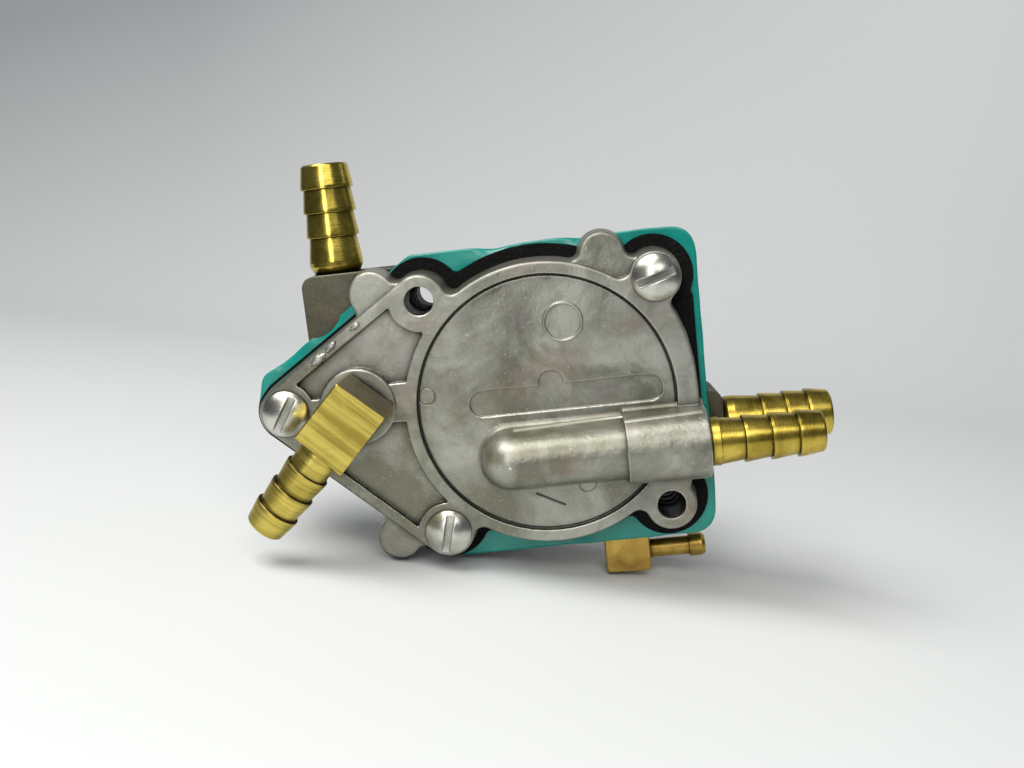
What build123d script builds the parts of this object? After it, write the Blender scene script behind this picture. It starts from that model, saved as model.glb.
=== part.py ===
"""Pulse-driven twin diaphragm pump, built as it comes apart on a bench.

Millimetres. +X runs along the outlet tube, +Z is up, and the front cover faces -Y. The origin is the middle
of the two mounting holes on the back mounting face, so the stack of castings runs from Y = 0 to Y = -31.
"""
import os
from math import cos, radians, sin

from build123d import *

# ---------------------------------------------------------------------- driving dimensions
back_cover_t = 7.3
film_t = 0.3
gasket_t = 0.8
body_t = 13.5
front_cover_t = 8.0

bolt_x, bolt_z = 25.4, 25.5          # mounting holes, upper left and lower right
mount_hole_r = 3.2
screws = {
    "cover_screw_upper": (26.2, 25.25, 16.5),
    "cover_screw_lower": (-24.95, -26.95, 75.5),
    "cover_screw_wing": (-57.9, 3.7, 58),
}                                    # x, z, slot angle in degrees
screw_r = 2.5
screw_hole_r = 2.75
screw_head_r = 5.15
screw_head_h = 2.7
screw_slot_w = 1.8

lobe_r = 6.4                         # lobe of the front cover at its gasket face, before draft
rim_r = 32.1                         # round of the front cover at its gasket face, before draft
draft = 5.5
disc_r = 28.8                        # sunk disc inside the rim
chamber_r = 27.0
chamber_depth = 3.0                  # dishes of the body
tube_z = -11.5                       # front outlet tube
elbow_x, elbow_z = -41.65, 3.65      # inlet elbow on the wing
elbow_turn = 225.9                   # its hose barb points down and to the left
pad_r = 8.5
inlet_x = -45.2                      # hose barb on top of the body

body_half, body_corner, body_wing_r = 33.2, 7.8, 7.6
back_half, back_corner, back_wing_r = 32.8, 7.4, 7.2
block_left, block_right, block_top = -52.6, -30.0, 32.85
boss_end, boss_low, boss_high = 39.6, -19.4, -2.1
rear_z = -11.3                       # rear outlet port and its hose barb

valve_disc_r = 4.2
valve_disc_t = 0.8
valve_lift = 0.8
valve_web_t = 1.4
valve_stem_r = 0.9
plug_head_t = 0.7
plug_tail_t = 0.6
pocket_depth = 4.6
front_outlet_valve = (-6.5, tube_z)
rear_inlet_valve = (-18.0, elbow_z)
rear_outlet_valve = (16.5, rear_z)

plate_r = 12.0
plate_t = 0.8
rivet_r = 2.0
rivet_head_r = 3.4
rivet_head_t = 0.9
film_clearance = 0.1

pulse_x = 15.1
pulse_block = 10.4
pulse_top, pulse_bottom, pulse_axis_z = -33.6, -43.9, -40.2
pulse_port_r = 3.0
transfer_r = 1.5
port_r = 5.0                         # threaded ports of the body
front_port_r = 4.9                   # threaded ports of the front cover
gallery_r = 2.2
core_depth = 1.5                     # cored pockets on the mounting face
crest_land = 0.6                     # cylindrical land on each ring of a hose barb
running_gap = 0.05

# ---------------------------------------------------------------------- stack levels along Y
y_rear_film = -back_cover_t
y_rear_gasket = y_rear_film - film_t
y_body_back = y_rear_gasket - gasket_t
y_body_front = y_body_back - body_t
y_front_gasket = y_body_front - film_t
y_flange = y_front_gasket - gasket_t
y_rim = y_flange - front_cover_t
y_body_mid = (y_body_back + y_body_front) / 2
y_disc = y_rim + 0.8                 # face of the sunk disc
y_panel = y_rim + 1.4                # faces of the two sunk wing panels
y_pad = y_rim - 0.4                  # face of the elbow's pad
y_tab = y_rim + 1.4                  # faces of the three ejector tabs
y_roof = y_rim + 3.7                 # roof of the chambers inside the front cover
y_tube = y_rim - 2.5                 # axis of the front outlet tube
y_elbow_web = y_rim + 4.0            # front of the inlet valve's seat

y_inlet_seat = y_elbow_web + valve_web_t
y_outlet_seat = y_roof - valve_web_t
y_rear_wall = y_body_back - chamber_depth      # middle wall of the body, rear face
y_front_wall = y_body_front + chamber_depth    # middle wall of the body, front face

wing_tip = (-58.2, 3.9)
wing_points = [(-bolt_x, bolt_z), screws["cover_screw_lower"][:2], wing_tip]
body_wing_points = [(-bolt_x, bolt_z), (-25.2, -25.9), wing_tip]
right_points = [screws["cover_screw_upper"][:2], (bolt_x, -bolt_z)]
mount_points = [(-bolt_x, bolt_z), (bolt_x, -bolt_z)]
screw_points = [screw[:2] for screw in screws.values()]
bulge_points = [(24, 20.2), (29.4, 19.6), (31.0, 16.4), (32.7, 11.8), (33.8, 6.0), (34.2, 0), (34.2, -20), (24, -20)]
tab_points = [(15.2, 31.2), (-35.9, 28.0), (-36.3, -27.6)]
transfer_point = (pulse_x, -30.0)    # drilling from the pulse port back to the rear cover

os.makedirs("parts", exist_ok=True)


# ---------------------------------------------------------------------- shared shapes
def facing(y):
    """Plane at height y on the stack: local x is X, local y is Z, and extrusions run forwards, to -Y."""
    return Plane.XZ.offset(-y)


def along_y(x, z):
    """Plane on the axis of a valve or screw: local x is X and local y is Y, for a profile to revolve."""
    return Plane(origin=(x, 0, z), x_dir=(1, 0, 0), z_dir=(0, 0, 1))


def finish(piece, name):
    """Label a finished piece and write it to its own file."""
    piece.part.label = name
    export_step(piece.part, f"parts/{name}.step")


def wing_outline(radius, points=tuple(wing_points)):
    """Hull of round lobes, by default the three of the cover's wing."""
    with BuildSketch(mode=Mode.PRIVATE) as hull:
        with Locations(*points):
            Circle(radius)
        make_hull()
    add(hull.sketch)


def cover_outline(tab_radius):
    """Outline of the front cover with its inner corners rounded, with or without the ejector tabs."""
    wing_outline(lobe_r)
    if tab_radius:
        with Locations(*tab_points):
            Circle(tab_radius)
    Circle(rim_r)
    with Locations(*right_points):
        Circle(lobe_r)
    Polygon(*bulge_points, align=None)
    offset(amount=1.6)
    offset(amount=-1.6)


def gasket_outline():
    """Outline of the front gasket: it stands proud of the cover round the disc and the four corners."""
    wing_outline(lobe_r + 0.6, [*body_wing_points, (-59.2, 2.8), (-26.3, -27.1)])
    with Locations((0, 0.7)):
        Circle(rim_r + 2.1)
    with Locations(*mount_points, screw_points[0], body_wing_points[1]):
        Circle(lobe_r + 2.7)
    with Locations((27.8, 0.0)):
        Rectangle(14.0, 40.0)
    offset(amount=1.6)
    offset(amount=-1.6)


def square_outline(half, corner, wing_r):
    """Rounded square of the castings behind the cover, with the wing."""
    RectangleRounded(2 * half, 2 * half, corner)
    wing_outline(wing_r, body_wing_points)
    offset(amount=2.0)
    offset(amount=-2.0)


def gallery_outline():
    """Hollow of the wing behind its panels, clear of the lobes and of the round chamber."""
    wing_outline(lobe_r - 3.6)
    with Locations(*wing_points):
        Circle(lobe_r + 0.4, mode=Mode.SUBTRACT)
    Circle(chamber_r + 2.6, mode=Mode.SUBTRACT)
    offset(amount=-0.8)
    offset(amount=0.8)


def front_waterway():
    """Opening of the pump chamber, the wing gallery and the channel between them."""
    gallery_outline()
    Circle(chamber_r)
    with Locations((-29.0, elbow_z)):
        Rectangle(14.0, 5.0)


def stack_holes(mount_r, hole_r):
    """Two mounting holes and three screw holes."""
    with Locations(*mount_points):
        Circle(mount_r)
    with Locations(*screw_points):
        Circle(hole_r)


def valve_ports(x, z):
    """Stem hole and ring of five ports in a valve seat."""
    with Locations((x, z)):
        Circle(valve_stem_r + running_gap)
        with PolarLocations(2.7, 5):
            Circle(1.1)


# ---------------------------------------------------------------------- front cover
def tube_half(radius, foot, flare):
    """Half section of the outlet tube: round crown, drafted side and a flare into the plate."""
    foot_y = y_disc - flare
    bend = sin(radians(45))
    with BuildLine(mode=Mode.PRIVATE) as half:
        Polyline((0, y_roof), (foot + flare, y_roof), (foot + flare, y_disc))
        ThreePointArc((foot + flare, y_disc), (foot + flare * (1 - bend), foot_y + flare * bend), (foot, foot_y))
        Line((foot, foot_y), (radius, y_tube))
        ThreePointArc((radius, y_tube), (radius * bend, y_tube - radius * bend), (0, y_tube - radius))
        Line((0, y_tube - radius), (0, y_roof))
    make_face(half.edges())


def tube_stretch(section, x_from, x_to):
    """Straight stretch of the outlet tube, both halves."""
    for side in (1, -1):
        # local x is across the tube, local y is Y, and the plane's normal runs along the tube
        with BuildSketch(Plane(origin=(x_from, 0, tube_z), x_dir=(0, 0, side), z_dir=(-side, 0, 0))) as half:
            tube_half(*section)
        extrude(half.sketch, amount=-side * (x_to - x_from))


narrow_tube = (6.25, 6.7, 1.6)
wide_tube = (7.6, 7.9, 1.0)
dome_x, step_x, tube_end_x = -8.9, 16.3, 34.1
port_x = 27.0

with BuildPart() as front_cover:
    with BuildSketch(facing(y_flange)):
        cover_outline(5.5)
    extrude(amount=y_flange - y_tab, taper=draft)
    fillet(front_cover.faces().sort_by(Axis.Y)[0].edges(), radius=0.5)
    with BuildSketch(facing(y_flange)):
        cover_outline(0)
    extrude(amount=front_cover_t, taper=draft)
    fillet(front_cover.faces().sort_by(Axis.Y)[0].edges(), radius=0.5)

    # sunk disc and the fine groove round it
    with BuildSketch(facing(y_disc)):
        Circle(disc_r)
    extrude(amount=5, mode=Mode.SUBTRACT)
    with BuildSketch(facing(y_disc + 0.4)):
        Circle(disc_r)
        Circle(disc_r - 0.6, mode=Mode.SUBTRACT)
    extrude(amount=5, mode=Mode.SUBTRACT)

    # sunk panels of the wing, either side of the elbow's pad and its web
    with BuildSketch(facing(y_panel)):
        wing_outline(lobe_r - 3.2)
        with Locations(*wing_points):
            Circle(lobe_r + 0.4, mode=Mode.SUBTRACT)
        Circle(rim_r - 0.8, mode=Mode.SUBTRACT)
        with Locations((elbow_x, elbow_z)):
            Circle(pad_r, mode=Mode.SUBTRACT)
        with Locations((-32.0, elbow_z)):
            Rectangle(12.0, 8.6, mode=Mode.SUBTRACT)
        with Locations((-51.0, elbow_z)):
            Rectangle(4.0, 5.0, mode=Mode.SUBTRACT)
        offset(amount=-0.4)
        offset(amount=0.4)
    extrude(amount=5, mode=Mode.SUBTRACT)
    with BuildSketch(facing(y_panel)):
        with Locations((elbow_x, elbow_z)):
            Circle(pad_r)
    extrude(amount=y_panel - y_pad, taper=draft)

    # outlet tube with its domed end
    tube_stretch(narrow_tube, dome_x, step_x)
    tube_stretch(wide_tube, step_x, tube_end_x)
    with BuildSketch(along_y(dome_x, tube_z)):
        tube_half(*narrow_tube)
    revolve(axis=Axis((dome_x, 0, tube_z), (0, 1, 0)), revolution_arc=360)

    # blank pad, plain ring and ejector mark on the disc
    with BuildSketch(facing(y_disc + 0.3)):
        with Locations((4.4, 1.25)):
            SlotOverall(42.8, 5.9)
        with Locations((1.4, 4.6)):
            Circle(2.8)
    extrude(amount=1, mode=Mode.SUBTRACT)
    with BuildSketch(facing(y_disc)):
        with Locations((5.3, 17.7)):
            Circle(4.35)
            Circle(3.95, mode=Mode.SUBTRACT)
    extrude(amount=0.25)

    # pump chamber, wing gallery, and the boss that carries the inlet valve's seat
    with BuildSketch(facing(y_flange)):
        front_waterway()
    extrude(amount=y_flange - y_roof, mode=Mode.SUBTRACT)
    with BuildSketch(facing(y_inlet_seat)):
        with Locations((elbow_x, elbow_z)):
            Circle(6.4)
    extrude(amount=y_inlet_seat - y_roof)
    with BuildSketch(facing(y_elbow_web)):
        with Locations((elbow_x, elbow_z)):
            Circle(front_port_r)
    extrude(amount=10, mode=Mode.SUBTRACT)
    with BuildSketch(facing(y_elbow_web + 2)):
        valve_ports(elbow_x, elbow_z)
    extrude(amount=4, mode=Mode.SUBTRACT)

    # bore of the outlet tube, its hose port, and the outlet valve's pocket
    with BuildSketch(Plane.YZ.offset(front_outlet_valve[0])):
        with Locations((y_tube, tube_z)):
            Circle(4.2)
    extrude(amount=port_x - front_outlet_valve[0], mode=Mode.SUBTRACT)
    with BuildSketch(Plane.YZ.offset(port_x)):
        with Locations((y_tube, tube_z)):
            Circle(front_port_r)
    extrude(amount=20, mode=Mode.SUBTRACT)
    with BuildSketch(facing(y_outlet_seat)):
        with Locations(front_outlet_valve):
            Circle(valve_disc_r + 0.5)
    extrude(amount=6.8, mode=Mode.SUBTRACT)
    with BuildSketch(facing(y_roof)):
        valve_ports(*front_outlet_valve)
    extrude(amount=valve_web_t, mode=Mode.SUBTRACT)

    with BuildSketch(facing(0)):
        stack_holes(mount_hole_r, screw_hole_r)
    extrude(amount=40, mode=Mode.SUBTRACT)

finish(front_cover, "front_cover")


# ---------------------------------------------------------------------- front gasket and the two films
with BuildPart() as front_gasket:
    with BuildSketch(facing(y_front_gasket)):
        gasket_outline()
    extrude(amount=gasket_t)
    with BuildSketch(facing(y_front_gasket)):
        front_waterway()
        stack_holes(mount_hole_r, screw_hole_r)
    extrude(amount=gasket_t, mode=Mode.SUBTRACT)

finish(front_gasket, "front_gasket")

film_points = [
    (36.4, 35.6), (36.2, -35.2), (-27.5, -35.2), (-41.9, -21.5), (-62.8, -3.1), (-66.4, 4.0), (-64.2, 11.4),
    (-51.9, 18.9), (-42.1, 25.2), (-27.5, 35.4),
]

with BuildPart() as front_diaphragm:
    with BuildSketch(facing(y_body_front)) as film:
        Polygon(*film_points, align=None)
        fillet(film.vertices().filter_by_position(Axis.X, -70, 30), radius=4.0)
        fillet(film.vertices().filter_by_position(Axis.X, 30, 40), radius=6.5)
    extrude(amount=film_t)
    with BuildSketch(facing(y_body_front)):
        stack_holes(mount_hole_r, screw_hole_r)
        Circle(rivet_r + running_gap)
    extrude(amount=film_t, mode=Mode.SUBTRACT)

finish(front_diaphragm, "front_diaphragm")


def flat_sheet(y, thickness, centre_r):
    """Sheet behind the body: outline of the casting, fastener holes, transfer hole and a centre opening."""
    with BuildSketch(facing(y)) as sheet:
        with BuildSketch(mode=Mode.PRIVATE) as outline:
            square_outline(body_half, body_corner, body_wing_r)
        add(outline.sketch)
        with BuildSketch(mode=Mode.PRIVATE) as holes:
            stack_holes(mount_hole_r, screw_hole_r)
            Circle(centre_r)
            with Locations(transfer_point):
                Circle(transfer_r)
        add(holes.sketch, mode=Mode.SUBTRACT)
    extrude(sheet.sketch, amount=thickness)


with BuildPart() as rear_gasket:
    flat_sheet(y_rear_gasket, gasket_t, chamber_r)

finish(rear_gasket, "rear_gasket")

with BuildPart() as rear_diaphragm:
    flat_sheet(y_rear_film, film_t, rivet_r + running_gap)

finish(rear_diaphragm, "rear_diaphragm")


# ---------------------------------------------------------------------- pump body
def channel(start, along, radius, length, mode=Mode.SUBTRACT):
    """Round drilling that starts at a point and runs along a direction."""
    with BuildSketch(Plane(origin=start, z_dir=along)) as mouth:
        Circle(radius)
    extrude(mouth.sketch, amount=length, mode=mode)


with BuildPart() as pump_body:
    with BuildSketch(facing(y_body_back)):
        square_outline(body_half, body_corner, body_wing_r)
    extrude(amount=body_t)

    # inlet block on the wing and outlet boss on the right
    with BuildSketch(facing(y_body_back)):
        with Locations(((block_left + block_right) / 2, block_top / 2)):
            RectangleRounded(block_right - block_left, block_top, 2.8)
    extrude(amount=body_t)
    with BuildSketch(facing(y_body_back)):
        with Locations((boss_end - 5.5, (boss_low + boss_high) / 2)):
            RectangleRounded(11.0, boss_high - boss_low, 3.0)
    extrude(amount=body_t)

    # dishes, front and rear
    with BuildSketch(facing(y_front_wall)):
        Circle(chamber_r)
    extrude(amount=chamber_depth, mode=Mode.SUBTRACT)
    with BuildSketch(facing(y_body_back)):
        Circle(chamber_r)
    extrude(amount=chamber_depth, mode=Mode.SUBTRACT)

    # inlet: hose port on top, gallery down and across to the inlet valve
    channel((inlet_x, y_body_mid, block_top), (0, 0, -1), port_r, 13.5)
    channel((inlet_x, y_body_mid, block_top), (0, 0, -1), gallery_r + 0.3, block_top - elbow_z + 4.0)
    channel((inlet_x, y_body_mid, elbow_z), (1, 0, 0), gallery_r, rear_inlet_valve[0] - inlet_x)

    # outlet: gallery to the hose port on the right
    channel((rear_outlet_valve[0], y_body_mid, rear_z), (1, 0, 0), gallery_r, 30.0)
    channel((boss_end, y_body_mid, rear_z), (-1, 0, 0), port_r, 11.5)

    # pockets of the two rear valves, with their seats towards the rear dish
    for spot in (rear_inlet_valve, rear_outlet_valve):
        with BuildSketch(facing(y_rear_wall - valve_web_t)):
            with Locations(spot):
                Circle(valve_disc_r + 0.5)
        extrude(amount=pocket_depth, mode=Mode.SUBTRACT)
        with BuildSketch(facing(y_rear_wall)):
            valve_ports(*spot)
        extrude(amount=valve_web_t, mode=Mode.SUBTRACT)

    # pulse passage: up from the underside into the front dish, and back to the rear cover
    channel((pulse_x, y_body_mid, -body_half), (0, 0, 1), pulse_port_r, 6.0)
    channel((pulse_x, y_body_mid, -body_half), (0, 0, 1), transfer_r, body_half - 18.6)
    channel((pulse_x, y_body_mid, transfer_point[1]), (0, 1, 0), transfer_r - 0.1, 20.0)
    channel((pulse_x, y_body_mid, -20.6), (0, -1, 0), transfer_r - 0.1, 5.0)

    with BuildSketch(facing(0)):
        stack_holes(mount_hole_r, screw_hole_r)
    extrude(amount=40, mode=Mode.SUBTRACT)

finish(pump_body, "pump_body")


# ---------------------------------------------------------------------- back cover
with BuildPart() as back_cover:
    with BuildSketch(facing(0)):
        square_outline(back_half, back_corner, back_wing_r)
    extrude(amount=back_cover_t)

    # pulse dish and the slot that feeds it
    with BuildSketch(facing(y_rear_film + chamber_depth)):
        Circle(chamber_r)
    extrude(amount=chamber_depth, mode=Mode.SUBTRACT)
    with BuildSketch(facing(y_rear_film + 1.6)):
        with Locations((pulse_x, -26.0)):
            Rectangle(2 * transfer_r, 11.0)
    extrude(amount=1.6, mode=Mode.SUBTRACT)

    # cored pockets on the mounting face, between the ribs
    with BuildSketch(facing(-core_depth)):
        Circle(chamber_r - 2.5)
        Circle(9.0, mode=Mode.SUBTRACT)
        with PolarLocations(0, 3, start_angle=30):
            Rectangle(2 * chamber_r, 3.0, mode=Mode.SUBTRACT)
    extrude(amount=-core_depth, mode=Mode.SUBTRACT)
    with BuildSketch(facing(-core_depth)):
        with Locations((-43.5, 1.5)):
            RectangleRounded(17.0, 14.0, 3.0)
    extrude(amount=-core_depth, mode=Mode.SUBTRACT)

    with BuildSketch(facing(0)):
        stack_holes(mount_hole_r, screw_r)
    extrude(amount=20, mode=Mode.SUBTRACT)

finish(back_cover, "back_cover")


# ---------------------------------------------------------------------- cover screws
def revolved(points, plane, start, along):
    """Closed profile of (across, along) points, turned about the axis."""
    with BuildSketch(plane) as profile:
        with BuildLine(mode=Mode.PRIVATE) as outline:
            Polyline(*points, close=True)
        make_face(outline.edges())
    revolve(profile.sketch, axis=Axis(start, along), revolution_arc=360)


def axis_plane(start, along, across):
    """Plane through an axis: local x runs across it and local y runs along it."""
    return Plane(origin=start, x_dir=across, z_dir=Vector(*across).cross(Vector(*along)))


dome_h = screw_head_h - 0.5
dome_r = (screw_head_r**2 + dome_h**2) / (2 * dome_h)
y_head = y_rim - screw_head_h

for name, (x, z, slot_angle) in screws.items():
    with BuildPart() as screw:
        with BuildSketch(facing(y_rim)):
            with Locations((x, z)):
                Circle(screw_head_r)
        extrude(amount=screw_head_h)
        with Locations((x, y_head + dome_r, z)):
            Sphere(dome_r, mode=Mode.INTERSECT)
        with BuildSketch(facing(y_head + 1.5)):
            with Locations((x, z)):
                Rectangle(3 * screw_head_r, screw_slot_w, rotation=slot_angle)
        extrude(amount=5, mode=Mode.SUBTRACT)
        with BuildSketch(facing(-1.0)):
            with Locations((x, z)):
                Circle(screw_r)
        extrude(amount=-y_rim - 1.0)
    finish(screw, name)


# ---------------------------------------------------------------------- diaphragm plates and rivets
def plate(y, side):
    """Pressed plate with a turned-up edge, its flat side at y and the edge turned away from the film."""
    with BuildSketch(axis_plane((0, 0, 0), (0, 1, 0), (1, 0, 0))) as profile:
        with BuildLine(mode=Mode.PRIVATE) as outline:
            Polyline(
                (rivet_r, y), (plate_r - 1.2, y), (plate_r, y + side * 0.7), (plate_r, y + side * 1.3),
                (plate_r - 1.6, y + side * plate_t), (rivet_r, y + side * plate_t), close=True,
            )
        make_face(outline.edges())
    revolve(profile.sketch, axis=Axis((0, 0, 0), (0, 1, 0)), revolution_arc=360)


def rivet(y_front, y_back):
    """Domed rivet through both plates, its heads outside them."""
    front = y_front - rivet_head_t
    back = y_back + rivet_head_t
    revolved(
        [
            (0, front), (rivet_head_r - 0.9, front), (rivet_head_r, front + 0.6), (rivet_head_r, y_front),
            (rivet_r, y_front), (rivet_r, y_back), (rivet_head_r, y_back), (rivet_head_r, back - 0.6),
            (rivet_head_r - 0.9, back), (0, back),
        ],
        axis_plane((0, 0, 0), (0, 1, 0), (1, 0, 0)), (0, 0, 0), (0, 1, 0),
    )


for end, y_front_face, y_back_face in (
    ("front", y_front_gasket, y_body_front),
    ("rear", y_rear_gasket, y_rear_film),
):
    y_fore = y_front_face - film_clearance
    y_aft = y_back_face + film_clearance
    outer_at, inner_at = (y_fore, y_aft) if end == "front" else (y_aft, y_fore)
    with BuildPart() as outer_plate:
        plate(outer_at, -1 if end == "front" else 1)
    finish(outer_plate, f"{end}_outer_plate")
    with BuildPart() as inner_plate:
        plate(inner_at, 1 if end == "front" else -1)
    finish(inner_plate, f"{end}_inner_plate")
    with BuildPart() as centre_rivet:
        rivet(y_fore - plate_t, y_aft + plate_t)
    finish(centre_rivet, f"{end}_rivet")


# ---------------------------------------------------------------------- valves
def check_valve(name, x, z, seat, side):
    """Disc on its seat and the plug that holds it; side is +1 when the valve opens towards +Y."""
    start = (x, 0, z)
    plane = axis_plane(start, (0, 1, 0), (1, 0, 0))
    disc_at = seat + side * running_gap
    stop = disc_at + side * (valve_disc_t + valve_lift + running_gap)
    back = seat - side * valve_web_t
    with BuildPart() as disc:
        revolved(
            [
                (valve_stem_r + running_gap, disc_at), (valve_disc_r, disc_at),
                (valve_disc_r, disc_at + side * valve_disc_t),
                (valve_stem_r + running_gap, disc_at + side * valve_disc_t),
            ],
            plane, start, (0, 1, 0),
        )
    finish(disc, f"{name}_valve")
    with BuildPart() as plug:
        revolved(
            [
                (0, stop + side * plug_head_t), (2.4, stop + side * plug_head_t), (2.4, stop),
                (valve_stem_r, stop), (valve_stem_r, back), (1.5, back), (1.1, back - side * plug_tail_t),
                (0, back - side * plug_tail_t),
            ],
            plane, start, (0, 1, 0),
        )
    finish(plug, f"{name}_plug")


check_valve("front_inlet", elbow_x, elbow_z, y_inlet_seat, 1)
check_valve("front_outlet", *front_outlet_valve, y_outlet_seat, -1)
check_valve("rear_inlet", *rear_inlet_valve, y_rear_wall, 1)
check_valve("rear_outlet", *rear_outlet_valve, y_rear_wall - valve_web_t, -1)


# ---------------------------------------------------------------------- hose barbs
def barb_points(bore_r, start, neck, crests, crest_r, root_r, tip_r, end):
    """Outline of a hose barb: neck points, then rings whose shoulders face the pump and whose cones taper."""
    points = [(bore_r, start), *neck]
    for ring, crest in enumerate(crests):
        last = ring == len(crests) - 1
        points += [(root_r, crest), (crest_r, crest), (crest_r, crest + crest_land)]
        if not last:
            points.append((root_r, crests[ring + 1] - 0.01))
    points += [(tip_r, end - 0.4), (tip_r - 0.4, end), (bore_r, end)]
    return points


top_start = (inlet_x, y_body_mid, 0)
with BuildPart() as top_inlet_barb:
    revolved(
        barb_points(
            3.3, block_top - 12.0,
            [(port_r, block_top - 12.0), (port_r, block_top), (5.2, block_top), (6.1, 34.6), (6.15, 35.6),
             (5.4, 41.1)],
            [41.2, 46.7, 52.1], 6.0, 5.4, 5.35, 57.6,
        ),
        axis_plane(top_start, (0, 0, 1), (1, 0, 0)), top_start, (0, 0, 1),
    )
finish(top_inlet_barb, "top_inlet_barb")

rear_start = (0, y_body_mid, rear_z)
with BuildPart() as rear_outlet_barb:
    revolved(
        barb_points(
            3.3, boss_end - 11.0,
            [(port_r, boss_end - 11.0), (port_r, boss_end), (5.3, boss_end), (6.0, 41.0), (6.05, 42.6),
             (5.35, 48.9)],
            [48.95, 54.4, 59.5], 5.9, 5.35, 5.25, 64.8,
        ),
        axis_plane(rear_start, (1, 0, 0), (0, 0, 1)), rear_start, (1, 0, 0),
    )
finish(rear_outlet_barb, "rear_outlet_barb")

front_start = (0, y_tube, tube_z)
with BuildPart() as front_outlet_barb:
    revolved(
        barb_points(
            3.1, port_x,
            [(front_port_r, port_x), (front_port_r, 34.7), (5.3, 34.7), (5.36, 36.5), (5.15, 36.6), (4.6, 41.7)],
            [41.8, 47.6, 53.4], 5.15, 4.5, 4.5, 59.0,
        ),
        axis_plane(front_start, (1, 0, 0), (0, 0, 1)), front_start, (1, 0, 0),
    )
finish(front_outlet_barb, "front_outlet_barb")

elbow_dir = (cos(radians(elbow_turn)), 0, sin(radians(elbow_turn)))
y_elbow = y_rim - 10.0
block_points = [(-5.4, -6.1), (9.25, -6.3), (9.9, 6.3), (-5.85, 6.25)]
elbow_start = (elbow_x, y_elbow, elbow_z)
with BuildPart() as inlet_elbow:
    # square block, sawn from bar: length along the barb, width across it
    with BuildSketch(Plane(origin=(elbow_x, y_rim - 1.8, elbow_z), x_dir=elbow_dir, z_dir=(0, -1, 0))):
        Polygon(*block_points, align=None)
    extrude(amount=15.2)
    chamfer(inlet_elbow.edges(), length=0.3)
    channel((elbow_x, y_elbow_web, elbow_z), (0, -1, 0), front_port_r, y_elbow_web - y_rim + 1.8, Mode.ADD)
    revolved(
        barb_points(3.0, 5.0, [(4.5, 5.0), (4.5, 15.25)], [15.35, 20.75, 26.2], 5.05, 4.4, 4.3, 31.6),
        axis_plane(elbow_start, elbow_dir, (0, 1, 0)), elbow_start, elbow_dir,
    )
    channel(elbow_start, elbow_dir, 3.0, 40.0)
    channel((elbow_x, y_elbow_web + 1, elbow_z), (0, -1, 0), 3.0, y_elbow_web + 1 - y_elbow)
finish(inlet_elbow, "inlet_elbow")

pulse_start = (pulse_x, y_body_mid, pulse_axis_z)
with BuildPart() as pulse_elbow:
    with Locations((pulse_x, y_body_mid, (pulse_top + pulse_bottom) / 2)):
        Box(pulse_block, 10.0, pulse_top - pulse_bottom)
    chamfer(pulse_elbow.edges(), length=0.25)
    channel((pulse_x, y_body_mid, pulse_top), (0, 0, 1), pulse_port_r, 5.6, Mode.ADD)
    revolved(
        [(0, 0), (2.2, 0), (2.2, 14.7), (2.7, 14.75), (2.7, 17.6), (2.2, 18.4), (0, 18.4)],
        axis_plane(pulse_start, (1, 0, 0), (0, 0, 1)), pulse_start, (1, 0, 0),
    )
    channel(pulse_start, (1, 0, 0), 1.2, 40.0)
    channel((pulse_x, y_body_mid, pulse_axis_z), (0, 0, 1), 1.2, 30.0)
finish(pulse_elbow, "pulse_elbow")
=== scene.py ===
"""Looks of a pulse-driven diaphragm pump.

Stained castings, brass fittings, a wavy teal film between the castings, and a pale seamless floor.
"""
import math
import random

import bmesh
import bpy
from mathutils import Matrix, Vector, noise


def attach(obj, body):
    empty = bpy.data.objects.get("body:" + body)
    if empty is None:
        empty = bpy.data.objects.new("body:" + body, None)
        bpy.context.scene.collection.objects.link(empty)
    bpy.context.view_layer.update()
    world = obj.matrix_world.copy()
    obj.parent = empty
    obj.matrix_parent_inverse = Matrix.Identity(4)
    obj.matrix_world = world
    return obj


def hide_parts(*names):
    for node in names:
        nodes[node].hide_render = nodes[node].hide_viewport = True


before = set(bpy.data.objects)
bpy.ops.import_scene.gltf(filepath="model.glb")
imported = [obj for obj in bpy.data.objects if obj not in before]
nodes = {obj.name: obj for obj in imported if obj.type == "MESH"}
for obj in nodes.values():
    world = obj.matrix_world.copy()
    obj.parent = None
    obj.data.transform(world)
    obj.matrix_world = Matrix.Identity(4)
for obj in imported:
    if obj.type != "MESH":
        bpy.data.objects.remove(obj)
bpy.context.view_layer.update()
MM = 0.001

# ---------------------------------------------------------------------- camera
CAMERA_PLACE = Vector((5.1, -274.0, 44.1)) * MM
CAMERA_LENS = 39.4
SENSOR_WIDTH = 36.0
CLIP_NEAR, CLIP_FAR = 0.01, 10.0
YAW, PITCH, ROLL = math.radians(1.90), math.radians(9.33), math.radians(6.29)


def camera_axes():
    """Right, down and forward directions of the camera.

    The scene's own axes are first written as the camera sees them, and then read off the other way.
    """
    seen_y = Vector((math.sin(YAW) * math.cos(PITCH), -math.sin(PITCH), math.cos(YAW) * math.cos(PITCH)))
    seen_x = Vector((math.cos(ROLL), -math.sin(ROLL), 0.0))
    seen_x = (seen_x - seen_y * seen_x.dot(seen_y)).normalized()
    seen_z = seen_x.cross(seen_y)
    return [Vector((seen_x[i], seen_y[i], seen_z[i])) for i in range(3)]


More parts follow.
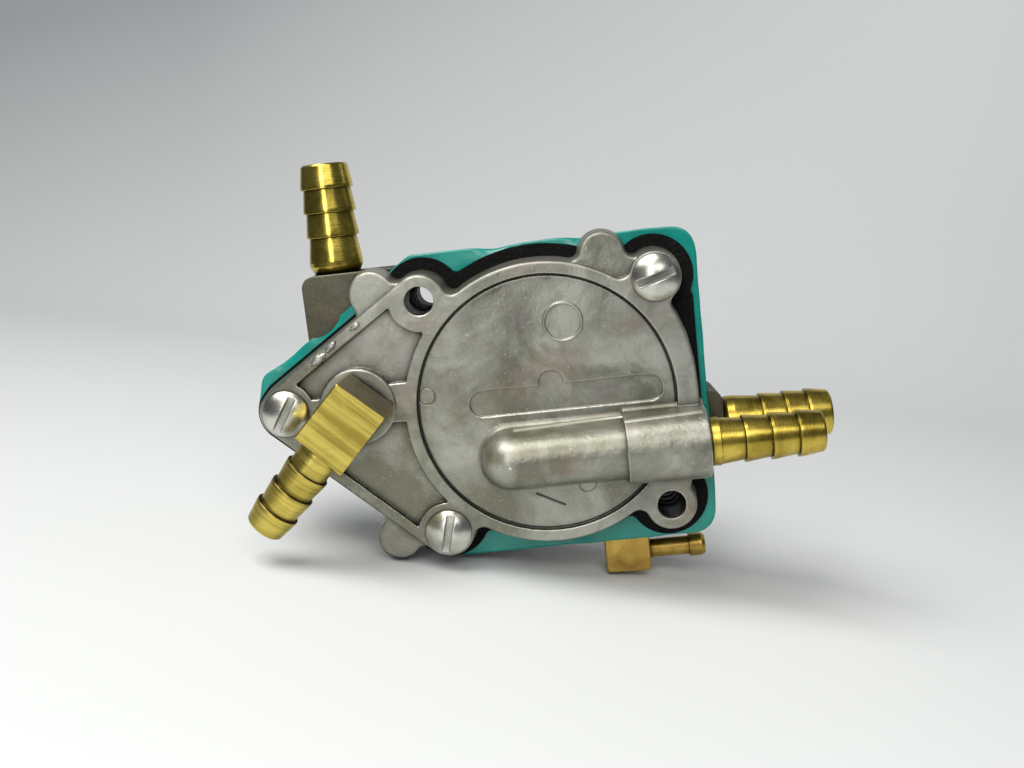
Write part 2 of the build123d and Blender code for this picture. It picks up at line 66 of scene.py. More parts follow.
right, down, forward = camera_axes()
camera_data = bpy.data.cameras.new("camera")
camera_data.lens = CAMERA_LENS
camera_data.sensor_width = SENSOR_WIDTH
camera_data.clip_start = CLIP_NEAR
camera_data.clip_end = CLIP_FAR
camera = bpy.data.objects.new("camera", camera_data)
turn = Matrix((right, -down, -forward)).transposed()
camera.matrix_world = Matrix.Translation(CAMERA_PLACE) @ turn.to_4x4()
bpy.context.scene.collection.objects.link(camera)
bpy.context.scene.camera = camera


# ---------------------------------------------------------------------- node helpers
SOFT_SAMPLES = 6        # rays for rounded edges and for dirt in corners
LINE_END = 0.3          # mm over which a drawn stroke fades at each end
LINE_CORE = 0.3         # share of a drawn line's width that is at full strength


def tint(color, factor):
    """The colour made lighter or darker."""
    return tuple(min(1.0, c * factor) for c in color)


class Shader:
    """Short calls for building a node material."""

    def __init__(self, name):
        self.material = bpy.data.materials.new(name)
        self.material.use_nodes = True
        self.tree = self.material.node_tree
        self.tree.nodes.clear()
        self.out = self.tree.nodes.new("ShaderNodeOutputMaterial")
        self.surface = self.tree.nodes.new("ShaderNodeBsdfPrincipled")
        self.tree.links.new(self.surface.outputs[0], self.out.inputs[0])
        self.coords = self.tree.nodes.new("ShaderNodeTexCoord").outputs["Object"]

    def node(self, kind, values=None, **settings):
        made = self.tree.nodes.new(kind)
        for key, value in settings.items():
            setattr(made, key, value)
        for key, value in (values or {}).items():
            self.put(made.inputs[key], value)
        return made

    def put(self, socket, value):
        if isinstance(value, bpy.types.NodeSocket):
            self.tree.links.new(value, socket)
        else:
            socket.default_value = value

    def set(self, **values):
        names = {"base": "Base Color", "rough": "Roughness", "metal": "Metallic", "normal": "Normal",
                 "spec": "Specular IOR Level"}
        for key, value in values.items():
            self.put(self.surface.inputs[names[key]], value)

    def mapped(self, scale, shift=(0, 0, 0), turn=(0, 0, 0)):
        return self.node("ShaderNodeMapping", {"Vector": self.coords, "Scale": scale, "Location": shift,
                                               "Rotation": turn}).outputs[0]

    def noise(self, scale, detail=4.0, rough=0.55, vector=None, warp=0.0):
        values = {"Vector": vector or self.coords, "Scale": scale, "Detail": detail, "Roughness": rough,
                  "Distortion": warp}
        return self.node("ShaderNodeTexNoise", values).outputs["Fac"]

    def voronoi(self, scale):
        values = {"Vector": self.coords, "Scale": scale}
        return self.node("ShaderNodeTexVoronoi", values, feature="F1").outputs["Distance"]

    def ramp(self, factor, stops):
        made = self.node("ShaderNodeValToRGB", {"Fac": factor})
        band = made.color_ramp
        while len(band.elements) < len(stops):
            band.elements.new(0.5)
        for element, (place, value) in zip(band.elements, stops):
            element.position = place
            element.color = value if len(value) == 4 else (*value, 1.0)
        return made.outputs[0]

    def range(self, factor, low, high, to_low=0.0, to_high=1.0):
        return self.node("ShaderNodeMapRange", {"Value": factor, "From Min": low, "From Max": high,
                                                "To Min": to_low, "To Max": to_high}).outputs[0]

    def mix(self, factor, a, b, mode="MIX"):
        made = self.node("ShaderNodeMix", data_type="RGBA", blend_type=mode)
        self.put(made.inputs[0], factor)
        self.put(made.inputs[6], a if isinstance(a, bpy.types.NodeSocket) else (*a, 1.0))
        self.put(made.inputs[7], b if isinstance(b, bpy.types.NodeSocket) else (*b, 1.0))
        return made.outputs[2]

    def layer(self, base, mask, share, color):
        """The base with a colour laid over it where the mask is 1, at a share of full strength."""
        return self.mix(self.math("MULTIPLY", mask, share), base, color)

    def math(self, kind, a, b=0.0):
        made = self.node("ShaderNodeMath", operation=kind)
        self.put(made.inputs[0], a)
        self.put(made.inputs[1], b)
        return made.outputs[0]

    def edge(self, radius):
        """Normal with rounded edges, and a mask that is 1 on sharp edges."""
        soft = self.node("ShaderNodeBevel", {"Radius": radius}, samples=SOFT_SAMPLES).outputs[0]
        flat = self.node("ShaderNodeNewGeometry").outputs["Normal"]
        dot = self.node("ShaderNodeVectorMath", {0: soft, 1: flat}, operation="DOT_PRODUCT").outputs["Value"]
        return soft, self.range(dot, 0.995, 0.86)

    def crevice(self, distance):
        """1 in the open, falling to 0 in corners."""
        made = self.node("ShaderNodeAmbientOcclusion", {"Distance": distance}, samples=SOFT_SAMPLES)
        return made.outputs["AO"]

    def flat_dot(self, along):
        """Distance of a point from the origin along a direction of the XZ plane."""
        return self.node("ShaderNodeVectorMath", {0: self.coords, 1: (along[0], 0.0, along[1])},
                         operation="DOT_PRODUCT").outputs["Value"]

    def stroke(self, start, end, width):
        """1 on a straight stroke across the front, given in millimetres of X and Z."""
        reach = math.dist(start, end)
        along = ((end[0] - start[0]) / reach, (end[1] - start[1]) / reach)
        side = (-along[1], along[0])
        shift = (start[0] * along[0] + start[1] * along[1]) * MM
        offset = (start[0] * side[0] + start[1] * side[1]) * MM
        walk = self.math("SUBTRACT", self.flat_dot(along), shift)
        away = self.math("ABSOLUTE", self.math("SUBTRACT", self.flat_dot(side), offset))
        begun = self.range(walk, 0.0, LINE_END * MM)
        unfinished = self.range(walk, reach * MM, (reach - LINE_END) * MM)
        inside = self.math("MULTIPLY", begun, unfinished)
        return self.math("MULTIPLY", inside, self.range(away, width * MM, width * LINE_CORE * MM))

    def circle(self, centre, radius, width):
        """1 on the line of a circle across the front, given in millimetres of X and Z."""
        flat = self.mapped((1, 0, 1))
        reach = self.node("ShaderNodeVectorMath", {0: flat, 1: (centre[0] * MM, 0.0, centre[1] * MM)},
                          operation="DISTANCE").outputs["Value"]
        away = self.math("ABSOLUTE", self.math("SUBTRACT", reach, radius * MM))
        return self.range(away, width * MM, width * LINE_CORE * MM)

    def bump(self, height, strength, distance, normal=None):
        values = {"Height": height, "Strength": strength, "Distance": distance}
        if normal is not None:
            values["Normal"] = normal
        return self.node("ShaderNodeBump", values).outputs[0]


def dress(shader, *names):
    """Give a material to CAD nodes through their object slots."""
    for name in names:
        piece = nodes[name]
        if not piece.material_slots:
            piece.data.materials.append(shader.material)
        for slot in piece.material_slots:
            slot.link = "OBJECT"
            slot.material = shader.material


# ---------------------------------------------------------------------- castings
VIOLET_CAST = (0.80, 0.74, 0.88)


def casting(name, light, dark, stain, rust, glint_speckle, rough, grain, marks=None):
    """Die-cast metal: large clouds, stains, painted glints on the grain, painted shade in corners and
    recesses, polished edges and a sandy grain.
    """
    s = Shader(name)
    clouds = s.noise(45.0, 6.0, 0.62, warp=0.6)
    base = s.ramp(clouds, [(0.38, dark), (0.62, light)])
    stains = s.range(s.noise(95.0, 5.0, 0.65, warp=1.2), 0.50, 0.70)
    base = s.layer(base, stains, 0.6, stain)
    warm = s.range(s.noise(60.0, 3.0, 0.6, vector=s.mapped((1, 1, 1.6), (0.31, 0.07, 0.12))), 0.55, 0.75)
    base = s.layer(base, warm, 0.5, rust)
    violet = s.range(s.noise(52.0, 3.0, 0.6, vector=s.mapped((1, 1, 1), (0.11, 0.23, 0.42))), 0.57, 0.74)
    base = s.layer(base, violet, 0.35, tuple(c * k for c, k in zip(light, VIOLET_CAST)))
    # painted glints: bright specks on the grain stand in for light caught by it
    specks = s.range(s.noise(1500.0, 2.0, 0.6), 0.64, 0.74)
    base = s.layer(base, specks, glint_speckle, tint(light, 1.9))
    pits = s.range(s.noise(700.0, 3.0, 0.7), 0.68, 0.76)
    base = s.layer(base, pits, 0.6, tint(dark, 0.35))
    soft, edges = s.edge(0.0006)
    base = s.layer(base, edges, 0.6, tint(light, 1.7))
    # painted shade: the colour is darkened in corners and creases
    painted_corner_shade = s.range(s.crevice(0.0022), 0.38, 0.90)
    base = s.mix(painted_corner_shade, tint(dark, 0.10), base)
    # painted shade: the colour is darkened deep in holes and recesses, where little light reaches
    depth = s.range(s.crevice(0.009), 0.20, 0.58)
    base = s.mix(depth, tint(dark, 0.05), base)
    smooth = s.math("ADD", s.range(clouds, 0.3, 0.7, rough - 0.06, rough + 0.09),
                    s.math("MULTIPLY", specks, 0.1))
    smooth = s.math("SUBTRACT", smooth, s.math("MULTIPLY", edges, 0.12))
    waves = s.bump(s.noise(160.0, 4.0, 0.6), 0.25, 0.0006, soft)
    normal = s.bump(s.noise(1300.0, 3.0, 0.65), grain, 0.00012, waves)
    if marks:
        base, normal = marks(s, base, normal, light, dark)
    s.set(base=base, rough=smooth, metal=0.82, normal=normal)
    return s


# lines drawn on the cover: (start, end, width) in millimetres of X and Z
SCRATCH = ((-4.5, -20.0), (2.0, -23.5), 0.35)
# raised flash line, with a painted highlight along it
FLASH_HIGHLIGHT_LINE = ((-8.0, -4.9), (33.5, -4.2), 0.28)
EJECTOR_MARKS = ((-26.3, 4.3), (7.3, -18.9))
EJECTOR_R, EJECTOR_WIDTH = 1.9, 0.30


def cover_marks(s, base, normal, light, dark):
    """Scratch below the tube, two ejector marks, and a raised flash line on the tube's upper side with a
    painted highlight along it.
    """
    scratch = s.stroke(*SCRATCH)
    base = s.layer(base, scratch, 0.85, tint(dark, 0.15))
    rings = s.math("MAXIMUM", *(s.circle(centre, EJECTOR_R, EJECTOR_WIDTH) for centre in EJECTOR_MARKS))
    base = s.layer(base, rings, 0.5, tint(dark, 0.5))
    # raised flash line, with a painted highlight: its bright colour stands in for light along the tube's
    # upper edge
    flash_and_highlight = s.stroke(*FLASH_HIGHLIGHT_LINE)
    base = s.layer(base, flash_and_highlight, 0.7, tint(light, 1.9))
    raised = s.math("MULTIPLY", flash_and_highlight, 0.6)
    sunk = s.math("ADD", scratch, s.math("MULTIPLY", rings, 0.5))
    height = s.math("SUBTRACT", raised, sunk)
    return base, s.bump(height, 0.7, 0.0003, normal)


cover_cast = casting("cover_casting", (0.44, 0.44, 0.385), (0.19, 0.188, 0.145), (0.165, 0.165, 0.10),
                     (0.29, 0.20, 0.16), 0.25, 0.38, 0.45, cover_marks)
body_cast = casting("body_casting", (0.15, 0.152, 0.108), (0.078, 0.079, 0.055), (0.095, 0.09, 0.052),
                    (0.20, 0.148, 0.10), 0.6, 0.56, 0.9)
nick_cast = casting("torn_casting", (0.66, 0.65, 0.61), (0.30, 0.29, 0.26), (0.42, 0.40, 0.34),
                    (0.45, 0.40, 0.35), 0.8, 0.30, 0.9)
dress(cover_cast, "front_cover")
dress(body_cast, "pump_body", "back_cover")


# ---------------------------------------------------------------------- brass
GOLD, BRONZE = (0.72, 0.555, 0.105), (0.40, 0.29, 0.045)
SAWN_LIGHT, SAWN_DARK = (0.62, 0.42, 0.10), (0.34, 0.20, 0.045)
LONG_GRAIN = 40.0           # noise scale along the tool marks
TURNED, SAWN = 5200.0, 3600.0   # noise scale across them
ELBOW_TURN = 225.9          # degrees that the barb is turned by in the XZ plane
ELBOW_END = (0.696, 0.0, 0.718)  # way the bar's dull end faces, opposite the barb


def brass(name, light, dark, rough, axis, lines, line_depth, tarnish):
    """Machined brass: tool marks across the given axis, tarnish patches and painted shade in corners."""
    s = Shader(name)
    clouds = s.noise(120.0, 5.0, 0.6, warp=0.8)
    base = s.ramp(clouds, [(0.35, dark), (0.62, light)])
    spots = s.range(s.noise(420.0, 4.0, 0.7), 0.60, 0.72)
    base = s.layer(base, spots, tarnish, tint(dark, 0.45))
    stretch = [LONG_GRAIN] * 3
    stretch["XYZ".index(axis)] = lines
    marks = s.noise(1.0, 3.0, 0.7, vector=s.mapped(stretch))
    soft, edges = s.edge(0.0002)
    base = s.layer(base, edges, 0.35, tint(light, 1.25))
    # painted shade: the colour is darkened in corners and at the shoulders of the rings
    painted_corner_shade = s.range(s.crevice(0.0016), 0.48, 0.95)
    base = s.mix(painted_corner_shade, tint(dark, 0.10), base)
    uneven = s.math("ADD", marks, s.math("MULTIPLY", clouds, 0.6))
    smooth = s.range(uneven, 0.5, 1.1, rough - 0.05, rough + 0.12)
    normal = s.bump(marks, line_depth, 0.0001, soft)
    s.set(base=base, rough=smooth, metal=1.0, normal=normal)
    return s


dress(brass("brass_turned_z", GOLD, BRONZE, 0.19, "Z", TURNED, 0.10, 0.25), "top_inlet_barb")
dress(brass("brass_turned_x", GOLD, BRONZE, 0.27, "X", TURNED, 0.14, 0.25),
      "front_outlet_barb", "rear_outlet_barb")
dress(brass("brass_sawn", SAWN_LIGHT, SAWN_DARK, 0.34, "Z", SAWN, 0.30, 0.8), "pulse_elbow")


def elbow_brass():
    """Elbow: turned barb and a bar whose face is scratched across, with dull ends."""
    s = Shader("brass_elbow")
    along = s.mapped((1, 1, 1), turn=(0, math.radians(ELBOW_TURN), 0))
    split = s.node("ShaderNodeSeparateXYZ", {0: along}).outputs
    joined = s.node("ShaderNodeCombineXYZ", {0: split[0], 1: s.math("MULTIPLY", split[1], 0.02),
                                             2: s.math("MULTIPLY", split[2], 0.02)}).outputs[0]
    marks = s.noise(2600.0, 4.0, 0.75, vector=joined)
    broad = s.noise(620.0, 3.0, 0.7, vector=joined)
    clouds = s.noise(110.0, 5.0, 0.6, warp=0.8)
    base = s.ramp(s.math("ADD", s.math("MULTIPLY", broad, 0.7), s.math("MULTIPLY", clouds, 0.3)),
                  [(0.40, (0.36, 0.28, 0.050)), (0.58, (0.68, 0.545, 0.125))])
    spots = s.range(s.noise(400.0, 4.0, 0.7), 0.62, 0.74)
    base = s.layer(base, spots, 0.4, (0.25, 0.17, 0.05))
    soft, edges = s.edge(0.0003)
    base = s.layer(base, edges, 0.45, (0.90, 0.70, 0.26))
    facing = s.node("ShaderNodeNewGeometry").outputs["Normal"]
    toward_end = s.node("ShaderNodeVectorMath", {0: facing, 1: ELBOW_END}, operation="DOT_PRODUCT")
    end_face = s.range(toward_end.outputs["Value"], 0.80, 0.97)
    grime = s.ramp(s.noise(700.0, 4.0, 0.7), [(0.35, (0.075, 0.058, 0.030)), (0.70, (0.20, 0.155, 0.065))])
    base = s.layer(base, end_face, 0.9, grime)
    # painted shade: the colour is darkened in corners and crevices
    painted_corner_shade = s.range(s.crevice(0.0016), 0.45, 0.92)
    base = s.mix(painted_corner_shade, (0.05, 0.036, 0.012), base)
    smooth = s.range(marks, 0.3, 0.7, 0.24, 0.42)
    s.set(base=base, rough=smooth, metal=1.0, normal=s.bump(marks, 0.5, 0.00015, soft))
    return s


dress(elbow_brass(), "inlet_elbow")


# ---------------------------------------------------------------------- screws, gaskets, film, inner pieces
def plated_steel():
    """Nickel-plated screw: fine scratches, and painted shade in the slot."""
    s = Shader("screw_nickel")
    clouds = s.noise(220.0, 4.0, 0.6)
    base = s.ramp(clouds, [(0.35, (0.46, 0.455, 0.40)), (0.65, (0.70, 0.695, 0.63))])
    scratches = s.noise(1.0, 3.0, 0.75, vector=s.mapped((900.0, 900.0, 5000.0), turn=(0.3, 0.6, 0.2)))
    # painted shade: the colour is darkened in the slot and corners
    painted_corner_shade = s.range(s.crevice(0.0016), 0.35, 0.85)
    base = s.mix(painted_corner_shade, (0.05, 0.045, 0.035), base)
    soft, _ = s.edge(0.00045)
    s.set(base=base, rough=s.range(scratches, 0.35, 0.7, 0.27, 0.38), metal=1.0,
          normal=s.bump(scratches, 0.04, 0.0001, soft))
    return s


def fibre_sheet():
    """Black fibre gasket with a rough, matted edge."""
    s = Shader("gasket_fibre")
    fibres = s.noise(1.0, 5.0, 0.75, vector=s.mapped((1500.0, 2600.0, 1500.0)))
    clumps = s.voronoi(900.0)
    height = s.math("ADD", fibres, s.math("MULTIPLY", clumps, 0.5))
    base = s.ramp(fibres, [(0.35, (0.003, 0.003, 0.003)), (0.60, (0.009, 0.009, 0.009)),
                           (0.78, (0.05, 0.047, 0.042))])
    s.set(base=base, rough=0.86, metal=0.0, spec=0.15, normal=s.bump(height, 0.9, 0.0005))
    return s


def teal_film():
    """Smooth teal film with a faint weave."""
    s = Shader("film_teal")
    clouds = s.noise(70.0, 4.0, 0.6)
    base = s.ramp(clouds, [(0.3, (0.002, 0.215, 0.175)), (0.7, (0.005, 0.33, 0.27))])
    specks = s.range(s.noise(900.0, 3.0, 0.7), 0.66, 0.75)
    base = s.layer(base, specks, 0.25, (0.12, 0.45, 0.38))
    weave = s.noise(1.0, 2.0, 0.5, vector=s.mapped((2600.0, 2600.0, 2600.0)))
    s.set(base=base, rough=s.range(clouds, 0.3, 0.7, 0.20, 0.32), metal=0.0, spec=0.6,
          normal=s.bump(weave, 0.12, 0.0001))
    return s


def plain(name, color, rough, metal):
    """Slightly uneven material for the inner pieces."""
    s = Shader(name)
    clouds = s.noise(300.0, 4.0, 0.6)
    base = s.mix(clouds, tint(color, 0.75), tint(color, 1.15))
    s.set(base=base, rough=s.range(clouds, 0.3, 0.7, rough - 0.05, rough + 0.08), metal=metal,
          normal=s.bump(s.noise(1600.0, 2.0), 0.2, 0.0001))
    return s


gasket_look = fibre_sheet()
film_look = teal_film()
dress(plated_steel(), "cover_screw_upper", "cover_screw_lower", "cover_screw_wing")
dress(gasket_look, "front_gasket", "rear_gasket")
dress(film_look, "front_diaphragm", "rear_diaphragm")
rubber_look = plain("valve_rubber", (0.03, 0.03, 0.032), 0.6, 0.0)
plate_look = plain("plate_aluminium", (0.62, 0.62, 0.62), 0.35, 1.0)
for end in ("front", "rear"):
    dress(rubber_look, *(f"{end}_{way}_{what}" for way in ("inlet", "outlet") for what in ("valve", "plug")))
    dress(plate_look, *(f"{end}_{what}" for what in ("outer_plate", "inner_plate", "rivet")))


# ---------------------------------------------------------------------- film and torn nicks
# all in millimetres
BOLT_HOLES = {"upper": (-25.4, 25.5), "lower": (25.4, -25.5)}
BOLT_HOLE_R = 3.2
SCREW_HOLES = [(26.2, 25.25), (-24.95, -26.95), (-57.9, 3.7)]
SCREW_HOLE_R = 2.75

FILM_T = 0.3
FILM_Y, REAR_FILM_Y = -22.05, -7.45
FILM_CORNERS = [    # x, z, corner radius
    (36.4, 35.6, 6.5), (36.2, -35.2, 6.5), (-27.5, -35.2, 4.0), (-41.9, -21.5, 4.0), (-62.8, -3.1, 4.0),
    (-66.4, 4.0, 4.0), (-64.2, 11.4, 4.0), (-51.9, 18.9, 4.0), (-42.1, 25.2, 4.0), (-27.5, 35.4, 4.0),
]
OUTLINE_POINTS = 360
INSETS = (0.0, 0.5, 1.0, 1.6, 2.3, 3.0)     # rows of the free margin, from the edge inwards
FREE_WIDTH = 2.2                            # further in than this the film lies flat
RAGGED, WAVE = 0.22, 0.50
CURLS = [(-8.0, 35.4, 6.0, 1.3), (12.0, 35.5, 5.0, 1.2), (-48.0, 21.0, 6.0, 1.1), (-58.0, 15.0, 5.0, 0.8)]
#         x, z, reach and height of each place where the edge curls back

# A film is cut in two at a ring that the castings hide, because rigid pieces can't bend with the plates.
CUT_GAP = 0.2
CHAMBER_R = 27.0
REAR_OPENING_R = 12.8       # just outside the plates: a wider middle meets the inlet plug at full stroke
RIVET_HOLE_R = 2.05
CUTTER_DEPTH = 4.0
ROUND_POINTS, SMALL_ROUND_POINTS = 96, 24


def rounded(corners, steps=6):
    """Outline with each corner (x, z, radius) replaced by an arc, as (x, z) in millimetres."""
    line = []
    for k, (x, z, radius) in enumerate(corners):
        here = Vector((x, z))
        back = (Vector(corners[k - 1][:2]) - here)
        ahead = (Vector(corners[(k + 1) % len(corners)][:2]) - here)
        half = back.angle(ahead) / 2
        reach = min(radius / math.tan(half), 0.45 * back.length, 0.45 * ahead.length)
        first, last = here + back.normalized() * reach, here + ahead.normalized() * reach
        for step in range(steps + 1):
            t = step / steps
            line.append(first * (1 - t) ** 2 + here * (2 * t * (1 - t)) + last * t ** 2)
    return line


def even(line, count):
    """The closed outline again, as evenly spaced points."""
    loop = line + [line[0]]
    lengths = [(b - a).length for a, b in zip(loop, loop[1:])]
    total = sum(lengths)
    points = []
    at, walked = 0, 0.0
    for k in range(count):
        goal = total * k / count
        while walked + lengths[at] < goal:
            walked += lengths[at]
            at += 1
        points.append(loop[at].lerp(loop[at + 1], (goal - walked) / max(lengths[at], 1e-9)))
    return points


def piece(name, bm, look, body, slot, smooth=True):
    """New piece made from a bmesh, riding on a body and finished with the given look; its slot argument is
    not used.
    """
    mesh = bpy.data.meshes.new(name)
    bm.to_mesh(mesh)
    bm.free()
    for face in mesh.polygons:
        face.use_smooth = smooth
    made = bpy.data.objects.new(name, mesh)
    bpy.context.scene.collection.objects.link(made)
    mesh.materials.append(look.material)
    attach(made, body)
    return made


def thicken(made):
    """Give a flat piece the film's thickness."""
    shell = made.modifiers.new("thickness", "SOLIDIFY")
    shell.thickness = FILM_T * MM
    shell.offset = 0.0


def ring_loop(bm, x, z, radius, count, y=FILM_Y):
    """Closed loop of edges round a hole of a film, or round its moving middle."""
    verts = []
    for k in range(count):
        a = 2 * math.pi * k / count
        verts.append(bm.verts.new(Vector((x + radius * math.cos(a), y, z + radius * math.sin(a))) * MM))
    return [bm.edges.new((verts[k], verts[(k + 1) % count])) for k in range(count)]


def wavy_film():
    """Front film: a still part whose free margin curls and waves, and a middle that moves with the plates."""
    bm = bmesh.new()
    outline = even(rounded(FILM_CORNERS), OUTLINE_POINTS)
    count = len(outline)
    rings = []
    for inset in INSETS:
        row = []
        for k, point in enumerate(outline):
            ahead = (outline[(k + 2) % count] - outline[k - 2]).normalized()
            inward = Vector((ahead.y, -ahead.x))
            ragged = RAGGED * noise.noise(Vector((point.x * 0.16, point.y * 0.16, 3.0)))
            free = max(0.0, 1 - inset / FREE_WIDTH) ** 1.2
            lift = WAVE * noise.noise(Vector((point.x * 0.11, point.y * 0.11, 8.0)))
            curl = 0.0
            for x, z, reach, tall in CURLS:
                away = (point.x - x) ** 2 + (point.y - z) ** 2
                curl += tall * math.exp(-away / reach ** 2 * 2)
            spot = point + inward * (inset + ragged + 0.6 * curl * free)
            lift += curl
            row.append(bm.verts.new(Vector((spot.x, FILM_Y + lift * free, spot.y)) * MM))
        rings.append(row)
    for outer, inner in zip(rings, rings[1:]):
        for k in range(count):
            bm.faces.new((outer[k], outer[(k + 1) % count], inner[(k + 1) % count], inner[k]))
    edges = [bm.edges.get((rings[-1][k], rings[-1][(k + 1) % count])) for k in range(count)]
    for x, z in BOLT_HOLES.values():
        edges += ring_loop(bm, x, z, BOLT_HOLE_R, SMALL_ROUND_POINTS)
    for x, z in SCREW_HOLES:
        edges += ring_loop(bm, x, z, SCREW_HOLE_R, SMALL_ROUND_POINTS)
    edges += ring_loop(bm, 0.0, 0.0, CHAMBER_R, ROUND_POINTS)
    bmesh.ops.triangle_fill(bm, use_beauty=True, use_dissolve=False, edges=edges)
    bmesh.ops.recalc_face_normals(bm, faces=bm.faces)
    margin = piece("film_margin", bm, film_look, "housing", "film")
    thicken(margin)
    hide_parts("front_diaphragm")
    film_middle("film_middle", FILM_Y, CHAMBER_R - CUT_GAP, "front_piston")


def film_middle(name, y, radius, body):
    """Middle of a film, a flat disc between the plates that carry it."""
    bm = bmesh.new()
    edges = ring_loop(bm, 0.0, 0.0, radius, ROUND_POINTS, y)
    edges += ring_loop(bm, 0.0, 0.0, RIVET_HOLE_R, SMALL_ROUND_POINTS, y)
    bmesh.ops.triangle_fill(bm, use_beauty=True, use_dissolve=False, edges=edges)
    thicken(piece(name, bm, film_look, body, "film"))


def rear_film():
    """Rear film: the CAD film with its middle cut out, and a middle that moves with its plates."""
    place = Matrix.Translation((0, REAR_FILM_Y * MM, 0)) @ Matrix.Rotation(math.pi / 2, 4, "X")
    cutter_bm = bmesh.new()
    bmesh.ops.create_cone(cutter_bm, cap_ends=True, segments=ROUND_POINTS, radius1=REAR_OPENING_R * MM,
                          radius2=REAR_OPENING_R * MM, depth=CUTTER_DEPTH * MM, matrix=place)
    cutter_mesh = bpy.data.meshes.new("film_cutter")
    cutter_bm.to_mesh(cutter_mesh)
    cutter_bm.free()
    cutter = bpy.data.objects.new("film_cutter", cutter_mesh)
    blank = bpy.data.objects.new("film_blank", nodes["rear_diaphragm"].data.copy())
    for made in (cutter, blank):
        bpy.context.scene.collection.objects.link(made)
    cut = blank.modifiers.new("opening", "BOOLEAN")
    cut.operation = "DIFFERENCE"
    cut.solver = "EXACT"
    cut.object = cutter
    bm = bmesh.new()
    bm.from_object(blank, bpy.context.evaluated_depsgraph_get())
    for made in (cutter, blank):
        bpy.data.objects.remove(made, do_unlink=True)
    for face in bm.faces:
        face.material_index = 0
    margin = piece("rear_film_margin", bm, film_look, "housing", "film", smooth=False)
    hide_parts("rear_diaphragm")
    film_middle("rear_film_middle", REAR_FILM_Y, REAR_OPENING_R - CUT_GAP, "rear_piston")


# torn lumps on the wing's rim: x, z, length, width, turn in degrees, seed
NICKS = {
    "nick_low": (-49.0, 15.0, 1.9, 0.95, 33.0, 3),
    "nick_middle": (-46.0, 17.5, 1.5, 0.75, 40.0, 7),
    "nick_high": (-40.0, 21.5, 1.2, 0.6, 35.0, 11),
}
NICK_Y, NICK_HEIGHT = -30.95, 0.42

EDGE_DEPTHS = (-9.0, -12.6, -16.2, -19.6)   # Y of the rings inside a mounting hole
EDGE_REACH, EDGE_HEIGHT = 0.2, 0.5
EDGE_TURNS, EDGE_SIDES = 40, 8


def nick(name, x, z, long, wide, turn, seed):
    """Torn, bright lump left on the wing's rim."""
    chance = random.Random(seed)
    bm = bmesh.new()
    bmesh.ops.create_icosphere(bm, subdivisions=3, radius=1.0)
    spin = Matrix.Rotation(math.radians(-turn), 3, "Y")
    for vert in bm.verts:
        bumpy = 1 + 0.45 * noise.noise(vert.co * 2.3 + Vector((seed, 0, 0))) + 0.05 * chance.random()
        local = Vector((vert.co.x * long, vert.co.y * NICK_HEIGHT, vert.co.z * wide)) * bumpy
        vert.co = (Vector((x, NICK_Y, z)) + spin @ local) * MM
    piece(name, bm, nick_cast, "housing", "cover_casting")


def hole_edges(name, x, z):
    """Rings a little proud of the wall inside a mounting hole."""
    bm = bmesh.new()
    for y in EDGE_DEPTHS:
        loops = []
        for k in range(EDGE_TURNS):
            a = 2 * math.pi * k / EDGE_TURNS
            loop = []
            for side in range(EDGE_SIDES):
                b = 2 * math.pi * side / EDGE_SIDES
                reach = BOLT_HOLE_R + EDGE_REACH * math.cos(b)
                rise = EDGE_HEIGHT * math.sin(b)
                spot = Vector((x + reach * math.cos(a), y + rise, z + reach * math.sin(a)))
                loop.append(bm.verts.new(spot * MM))
            loops.append(loop)
        for k, loop in enumerate(loops):
            ahead = loops[(k + 1) % EDGE_TURNS]
            for side in range(EDGE_SIDES):
                after = (side + 1) % EDGE_SIDES
                bm.faces.new((loop[side], loop[after], ahead[after], ahead[side]))
    bmesh.ops.recalc_face_normals(bm, faces=bm.faces)
    piece(name, bm, body_cast, "housing", "body_casting")


wavy_film()
rear_film()
for place, (x, z) in BOLT_HOLES.items():
    hole_edges(f"hole_edges_{place}", x, z)
for name, sizes in NICKS.items():
    nick(name, *sizes)


# ---------------------------------------------------------------------- floor and light
FLOOR_SLOPE = -0.23                 # the pump rests tilted, so the floor slopes in its frame
FLOOR_HEIGHT = -41.8 * MM
FLOOR_START, FLOOR_STEP, FLOOR_STEPS = -0.26, 0.09, 7      # metres along Y
CURVE_R, CURVE_STEPS = 0.22, 16
WALL_TOP = 0.55
SHEET_RIGHT, SHEET_COLUMNS = 0.55, 8
# the light colour is the paper's own; the dark one is painted shade
PAPER_LIGHT, PAPER_SHADE_COLOR = (0.84, 0.86, 0.86), (0.34, 0.35, 0.37)
across = Vector((1.0, 0.0, FLOOR_SLOPE)).normalized()
upward = Vector((-FLOOR_SLOPE, 0.0, 1.0)).normalized()


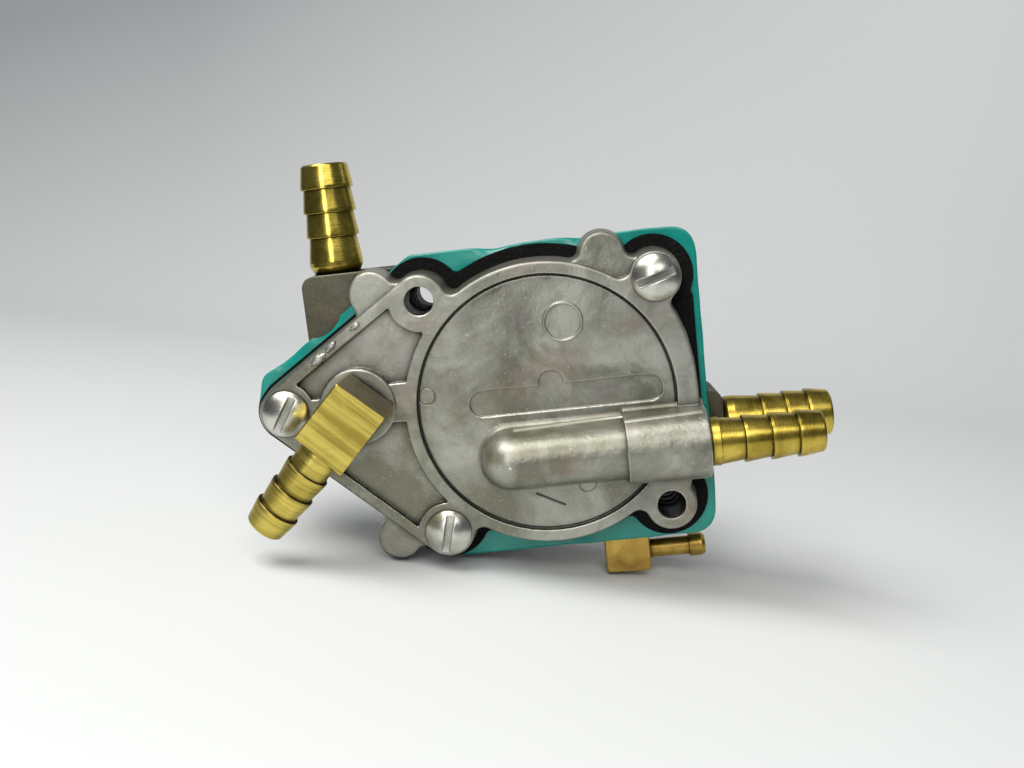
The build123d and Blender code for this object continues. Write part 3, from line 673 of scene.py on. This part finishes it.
def sweep():
    """Seamless sheet: a floor, a large curve and a wall, in the tilt that the pump rests at, with painted
    shade darkening the wall towards its top left.
    """
    bm = bmesh.new()
    profile = []
    for k in range(FLOOR_STEPS):
        profile.append((FLOOR_START + FLOOR_STEP * k, 0.0))
    start = profile[-1][0]
    for k in range(1, CURVE_STEPS + 1):
        a = math.radians(90 * k / CURVE_STEPS)
        profile.append((start + CURVE_R * math.sin(a), CURVE_R * (1 - math.cos(a))))
    profile.append((start + CURVE_R, WALL_TOP))
    rows = []
    for y, z in profile:
        reach = max(0.14, 0.20 + 0.9 * y)
        row = []
        for k in range(SHEET_COLUMNS + 1):
            x = -reach + (reach + SHEET_RIGHT) * k / SHEET_COLUMNS
            row.append(bm.verts.new(across * x + upward * z + Vector((0, y, FLOOR_HEIGHT))))
        rows.append(row)
    for low, high in zip(rows, rows[1:]):
        for k in range(SHEET_COLUMNS):
            bm.faces.new((low[k], low[k + 1], high[k + 1], high[k]))
    mesh = bpy.data.meshes.new("sweep")
    bm.to_mesh(mesh)
    bm.free()
    for face in mesh.polygons:
        face.use_smooth = True
    sheet = bpy.data.objects.new("sweep", mesh)
    bpy.context.scene.collection.objects.link(sheet)
    s = Shader("sweep_paper")
    # painted shade: the sheet darkens towards the top and the left
    split = s.node("ShaderNodeSeparateXYZ", {0: s.coords}).outputs
    painted_wall_shade = s.math("MULTIPLY", s.range(split[2], -0.04, 0.20), s.range(split[0], 0.30, -0.22))
    paper = s.layer(PAPER_LIGHT, painted_wall_shade, 0.85, PAPER_SHADE_COLOR)
    grain = s.noise(900.0, 2.0, 0.6)
    s.set(base=paper, rough=s.range(grain, 0.3, 0.7, 0.58, 0.66), spec=0.3,
          normal=s.bump(grain, 0.03, 0.0001))
    mesh.materials.append(s.material)


sweep()


WORLD_COLOR, WORLD_STRENGTH = (0.62, 0.67, 0.74, 1.0), 0.13


def area(name, place, target, size, power, color):
    """Soft rectangular light aimed at a point."""
    data = bpy.data.lights.new(name, "AREA")
    data.shape = "RECTANGLE"
    data.size, data.size_y = size
    data.energy = power
    data.color = color
    lamp = bpy.data.objects.new(name, data)
    lamp.location = place
    lamp.rotation_euler = (Vector(target) - Vector(place)).to_track_quat("-Z", "Y").to_euler()
    bpy.context.scene.collection.objects.link(lamp)


area("key", (-0.16, -0.20, 0.60), (0, 0, 0), (0.55, 0.40), 4.3, (1.0, 0.985, 0.96))
area("strip", (-0.12, -0.60, 0.25), (0, 0, 0), (0.10, 0.40), 1.1, (1.0, 0.99, 0.97))
area("bar", (0.17, -0.50, 0.34), (0.02, 0, -0.01), (0.34, 0.18), 0.75, (1.0, 0.99, 0.96))
area("wash", (0.46, 0.12, 0.30), (0.30, 0.60, -0.02), (0.25, 0.25), 0.32, (0.98, 0.99, 1.0))
world = bpy.data.worlds.new("world")
bpy.context.scene.world = world
world.use_nodes = True
background = world.node_tree.nodes["Background"]
background.inputs["Color"].default_value = WORLD_COLOR
background.inputs["Strength"].default_value = WORLD_STRENGTH
bpy.context.scene.view_settings.view_transform = "Standard"
